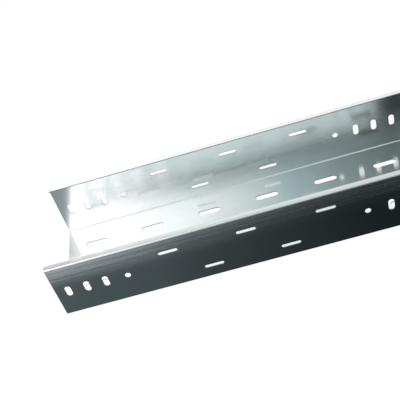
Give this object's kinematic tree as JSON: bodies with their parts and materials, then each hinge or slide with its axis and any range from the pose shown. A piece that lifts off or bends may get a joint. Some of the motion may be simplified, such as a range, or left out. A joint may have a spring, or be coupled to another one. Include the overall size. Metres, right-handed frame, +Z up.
{
  "type": "perforated cable tray",
  "caption": "Straight U-shaped cable tray folded from one stainless steel sheet, with inward lips and punched slots in the walls and base for bolts and cable ties.",
  "frame": {"origin": "on the underside of the base, under the middle of the tray", "axes": "+X along the tray, +Y across it, +Z up out of the open side"},
  "size_m": [2.4, 0.2, 0.1],
  "materials": {
    "stainless_sheet": "cold rolled, semi-bright, with faint rolling lines along the tray"
  },
  "bodies": {
    "root": {"tray": "stainless_sheet"}
  },
  "joints": []
}
